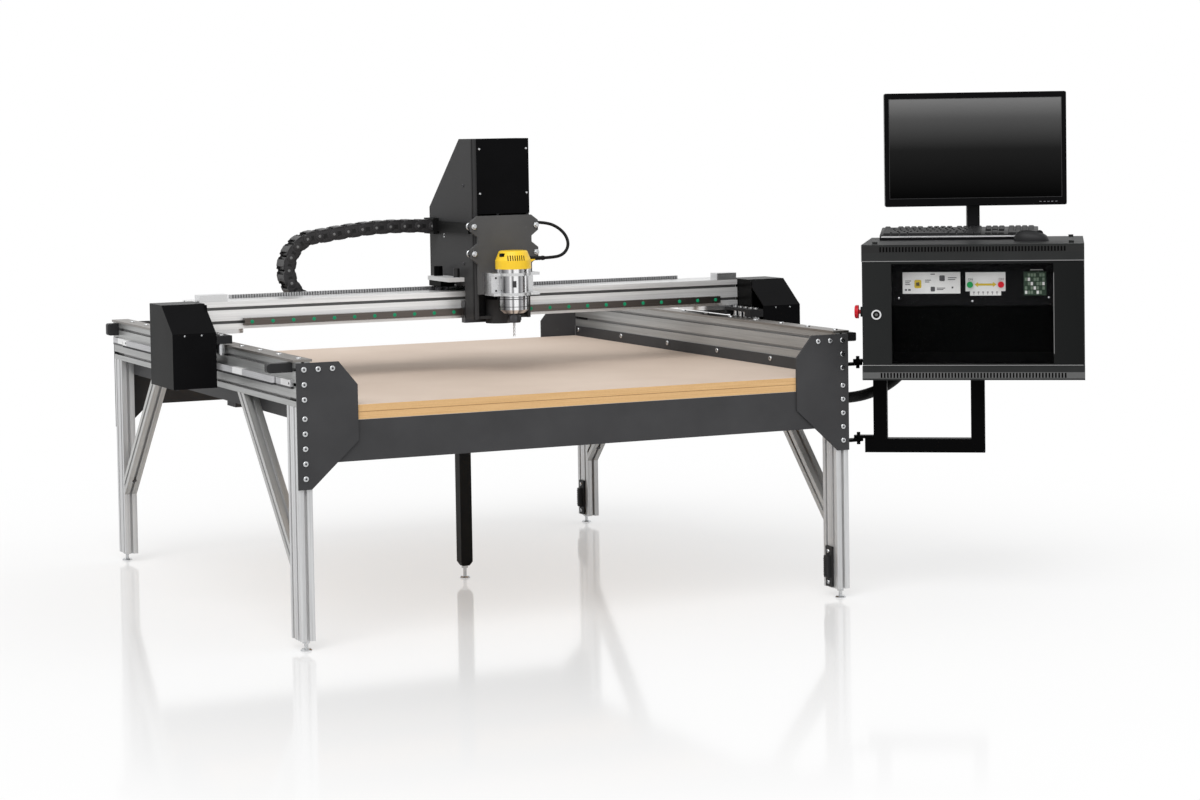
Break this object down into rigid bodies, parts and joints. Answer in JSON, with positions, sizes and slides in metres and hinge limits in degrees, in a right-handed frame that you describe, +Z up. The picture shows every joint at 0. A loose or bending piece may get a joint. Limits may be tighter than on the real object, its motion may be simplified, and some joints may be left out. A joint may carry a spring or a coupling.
{
  "type": "cnc router table",
  "caption": "Free-standing gantry router table with slotted aluminium rails and legs, a spoilboard bed, a Z-axis router head, a cable chain and a swing-out control cabinet with a monitor",
  "frame": {"origin": "on the floor at the underside of the foot of the table's centre leg, midway between the four corner legs", "axes": "+X runs along the gantry to the side with the cabinet, +Y from the front of the table to its back, +Z up out of the bed"},
  "size_m": [2.4987, 2.1725, 1.396],
  "materials": {
    "bar_aluminium": "clear anodised slotted bar",
    "black_paint": "black textured powder coat",
    "black_plastic": "moulded black plastic",
    "bright_steel": "ground steel",
    "dark_steel": "oiled steel",
    "fibreboard": "bare fibreboard",
    "glass": "tinted door glass",
    "gloss_black": "polished black panel",
    "green_plastic": "green button",
    "grey_paint": "dark grey textured powder coat",
    "machined": "machined aluminium",
    "panel": "painted rack panel",
    "red_plastic": "red button",
    "rubber": "black rubber sheath",
    "yellow_plastic": "moulded yellow plastic",
    "zinc": "bright zinc plating"
  },
  "bodies": {
    "base": {"side_rails": "bar_aluminium", "tracks_and_racks": "dark_steel", "corner_plates": "grey_paint", "legs": "bar_aluminium", "leg_braces": "bar_aluminium", "levelling_feet": "zinc", "centre_leg": "black_paint", "bed_frame": "grey_paint", "spoilboard": "fibreboard", "table_bolts": "zinc", "stops_and_handles": "black_plastic", "swing_brackets": "black_paint"},
    "gantry": {"gantry_beam": "bar_aluminium", "x_rail_and_rack": "bright_steel", "beam_fittings": "machined", "truck_blocks": "black_paint", "drive_covers": "black_paint", "drive_motors": "black_paint", "chain_tray": "black_paint", "chain_lower_run": "black_plastic"},
    "left_drive": {"left_pinion": "bright_steel"},
    "right_drive": {"right_pinion": "bright_steel"},
    "left_front_guide": {"left_front_roller": "bright_steel"},
    "left_rear_guide": {"left_rear_roller": "bright_steel"},
    "right_front_guide": {"right_front_roller": "bright_steel"},
    "right_rear_guide": {"right_rear_roller": "bright_steel"},
    "lower_bend": {"chain_bend_lower": "black_plastic"},
    "carriage": {"z_housing": "black_paint", "z_cover": "gloss_black", "bearing_blocks": "bright_steel", "x_drive_plate": "machined", "carriage_motors": "black_paint", "chain_upper_run": "black_plastic"},
    "x_drive": {"x_pinion": "bright_steel"},
    "z_drive": {"lead_screw": "bright_steel"},
    "upper_bend": {"chain_bend_upper": "black_plastic"},
    "z_slide": {"z_plate": "black_paint", "router_clamp": "machined", "router_body": "machined", "router_cap": "yellow_plastic", "router_cord": "rubber"},
    "spindle": {"collet_bit": "dark_steel"},
    "switch": {"router_switch": "black_plastic"},
    "left_upper_v": {"left_upper_wheel": "bright_steel"},
    "left_lower_v": {"left_lower_wheel": "bright_steel"},
    "right_upper_v": {"right_upper_wheel": "bright_steel"},
    "right_lower_v": {"right_lower_wheel": "bright_steel"},
    "swing": {"swing_frame": "black_paint", "cabinet_shell": "black_paint", "rack_panel": "panel", "monitor_stand": "black_plastic", "keyboard_and_mouse": "black_plastic", "loom": "rubber"},
    "door": {"door_frame": "black_paint", "door_glass": "glass"},
    "lock": {"door_lock": "zinc"},
    "estop": {"emergency_stop": "red_plastic"},
    "start": {"start_button": "green_plastic"},
    "stop": {"stop_button": "red_plastic"},
    "screen": {"monitor": "gloss_black"}
  },
  "joints": [
    {"name": "gantry_travel", "type": "slide", "parent": "base", "child": "gantry", "axis": [0, 1, 0], "range_m": [-0.38, 0.69]},
    {"name": "left_pinion_turn", "type": "hinge", "parent": "gantry", "child": "left_drive", "pos_m": [-0.86585, -0.2065, 0.68], "axis": [0, 0, 1], "continuous": true},
    {"name": "left_front_roller_turn", "type": "hinge", "parent": "gantry", "child": "left_front_guide", "pos_m": [-0.81875, -0.298, 0.7335], "axis": [0, 0, 1], "continuous": true},
    {"name": "left_rear_roller_turn", "type": "hinge", "parent": "gantry", "child": "left_rear_guide", "pos_m": [-0.81875, -0.172, 0.7335], "axis": [0, 0, 1], "continuous": true},
    {"name": "right_pinion_turn", "type": "hinge", "parent": "gantry", "child": "right_drive", "pos_m": [0.86585, -0.2065, 0.68], "axis": [0, 0, 1], "continuous": true},
    {"name": "right_front_roller_turn", "type": "hinge", "parent": "gantry", "child": "right_front_guide", "pos_m": [0.81875, -0.298, 0.7335], "axis": [0, 0, 1], "continuous": true},
    {"name": "right_rear_roller_turn", "type": "hinge", "parent": "gantry", "child": "right_rear_guide", "pos_m": [0.81875, -0.172, 0.7335], "axis": [0, 0, 1], "continuous": true},
    {"name": "carriage_travel", "type": "slide", "parent": "gantry", "child": "carriage", "axis": [1, 0, 0], "range_m": [-0.6, 0.58], "deforming": ["chain_upper_run", "chain_lower_run"]},
    {"name": "x_pinion_turn", "type": "hinge", "parent": "carriage", "child": "x_drive", "pos_m": [-0.083, -0.04213, 0.856], "axis": [0, 0, 1], "continuous": true},
    {"name": "chain_lower_bend_travel", "type": "slide", "parent": "gantry", "child": "lower_bend", "axis": [1, 0, 0], "range_m": [-0.3, 0.29]},
    {"name": "chain_upper_bend_travel", "type": "slide", "parent": "carriage", "child": "upper_bend", "axis": [1, 0, 0], "range_m": [-0.29, 0.3]},
    {"name": "z_travel", "type": "slide", "parent": "carriage", "child": "z_slide", "axis": [0, 0, 1], "range_m": [-0.105, 0.1]},
    {"name": "lead_screw_turn", "type": "hinge", "parent": "carriage", "child": "z_drive", "pos_m": [0.029, -0.2225, 1], "axis": [0, 0, 1], "continuous": true},
    {"name": "left_upper_wheel_turn", "type": "hinge", "parent": "z_slide", "child": "left_upper_v", "pos_m": [-0.0663, -0.251, 1.04], "axis": [0, 1, 0], "continuous": true},
    {"name": "left_lower_wheel_turn", "type": "hinge", "parent": "z_slide", "child": "left_lower_v", "pos_m": [-0.0663, -0.251, 0.963], "axis": [0, 1, 0], "continuous": true},
    {"name": "right_upper_wheel_turn", "type": "hinge", "parent": "z_slide", "child": "right_upper_v", "pos_m": [0.1243, -0.251, 1.04], "axis": [0, 1, 0], "continuous": true},
    {"name": "right_lower_wheel_turn", "type": "hinge", "parent": "z_slide", "child": "right_lower_v", "pos_m": [0.1243, -0.251, 0.963], "axis": [0, 1, 0], "continuous": true},
    {"name": "spindle_turn", "type": "hinge", "parent": "z_slide", "child": "spindle", "pos_m": [0.029, -0.332, 0.78], "axis": [0, 0, 1], "continuous": true},
    {"name": "router_switch_slide", "type": "slide", "parent": "z_slide", "child": "switch", "axis": [0.3256, -0.9455, 0], "range_m": [0, 0.006]},
    {"name": "cabinet_swing", "type": "hinge", "parent": "base", "child": "swing", "pos_m": [0.8559, -0.8255, 0.65], "axis": [0, 0, 1], "range_deg": [-34, 38], "deforming": ["loom"]},
    {"name": "door_turn", "type": "hinge", "parent": "swing", "child": "door", "pos_m": [1.2834, -1.28659, 0.8], "axis": [0, 0, 1], "range_deg": [0, 110]},
    {"name": "lock_turn", "type": "hinge", "parent": "door", "child": "lock", "pos_m": [0.82454, -0.98326, 0.793], "axis": [0.5635, 0.8261, 0], "range_deg": [0, 90]},
    {"name": "estop_press", "type": "slide", "parent": "swing", "child": "estop", "axis": [0.8261, -0.5635, 0], "range_m": [0, 0.005], "stiffness_N_per_m": 800},
    {"name": "start_press", "type": "slide", "parent": "swing", "child": "start", "axis": [0.5635, 0.8261, 0], "range_m": [0, 0.003], "stiffness_N_per_m": 600},
    {"name": "stop_press", "type": "slide", "parent": "swing", "child": "stop", "axis": [0.5635, 0.8261, 0], "range_m": [0, 0.003], "stiffness_N_per_m": 600},
    {"name": "monitor_tilt", "type": "hinge", "parent": "swing", "child": "screen", "pos_m": [1.26026, -0.78999, 1.236], "axis": [-0.8988, 0.4384, 0], "range_deg": [-5, 20]}
  ],
  "couplings": [
    {"joint": "left_pinion_turn", "follows": "gantry_travel", "rad_per_m": -18.519},
    {"joint": "left_front_roller_turn", "follows": "gantry_travel", "rad_per_m": -83.333},
    {"joint": "left_rear_roller_turn", "follows": "gantry_travel", "rad_per_m": -83.333},
    {"joint": "right_pinion_turn", "follows": "gantry_travel", "rad_per_m": 18.519},
    {"joint": "right_front_roller_turn", "follows": "gantry_travel", "rad_per_m": 83.333},
    {"joint": "right_rear_roller_turn", "follows": "gantry_travel", "rad_per_m": 83.333},
    {"joint": "x_pinion_turn", "follows": "carriage_travel", "rad_per_m": 40},
    {"joint": "chain_lower_bend_travel", "follows": "carriage_travel", "ratio": 0.5},
    {"joint": "chain_upper_bend_travel", "follows": "carriage_travel", "ratio": -0.5},
    {"joint": "lead_screw_turn", "follows": "z_travel", "rad_per_m": 314.16},
    {"joint": "left_upper_wheel_turn", "follows": "z_travel", "rad_per_m": 111.11},
    {"joint": "left_lower_wheel_turn", "follows": "z_travel", "rad_per_m": 111.11},
    {"joint": "right_upper_wheel_turn", "follows": "z_travel", "rad_per_m": -111.11},
    {"joint": "right_lower_wheel_turn", "follows": "z_travel", "rad_per_m": -111.11}
  ]
}
